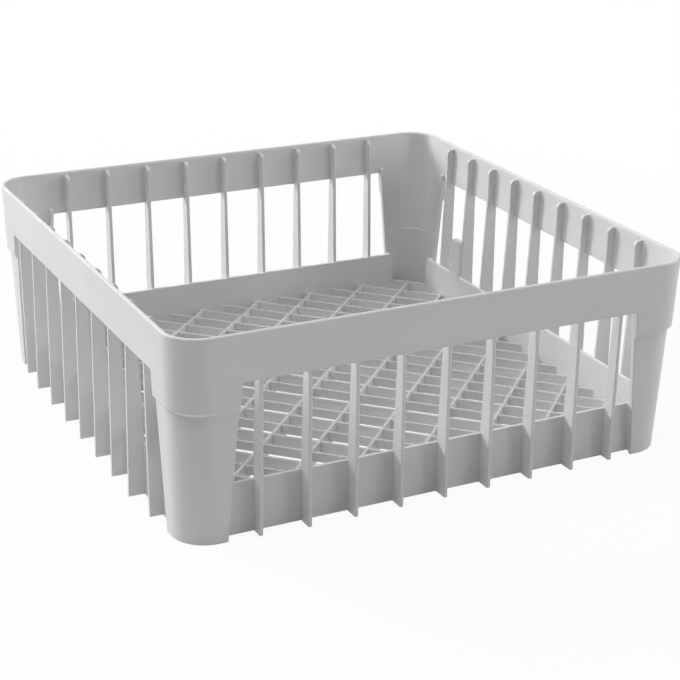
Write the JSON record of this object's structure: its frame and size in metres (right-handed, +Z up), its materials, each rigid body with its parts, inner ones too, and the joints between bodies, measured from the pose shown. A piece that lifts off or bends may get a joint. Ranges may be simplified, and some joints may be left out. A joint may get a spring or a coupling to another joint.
{
  "type": "dishwasher glass rack",
  "caption": "Square open plastic basket that holds glasses in a commercial dishwasher, with a tall rim, corner posts, upright fins round the sides and a diagonal grid floor.",
  "frame": {"origin": "on the surface that the feet stand on, under the middle of the rack", "axes": "+Z up; +X to the right along the front side, +Y to the back; the marking plate is on the +X side near the back"},
  "size_m": [0.4, 0.4, 0.15],
  "materials": {
    "plastic": "light grey polypropylene, satin moulded skin"
  },
  "bodies": {
    "root": {"rack": "plastic"}
  },
  "joints": []
}
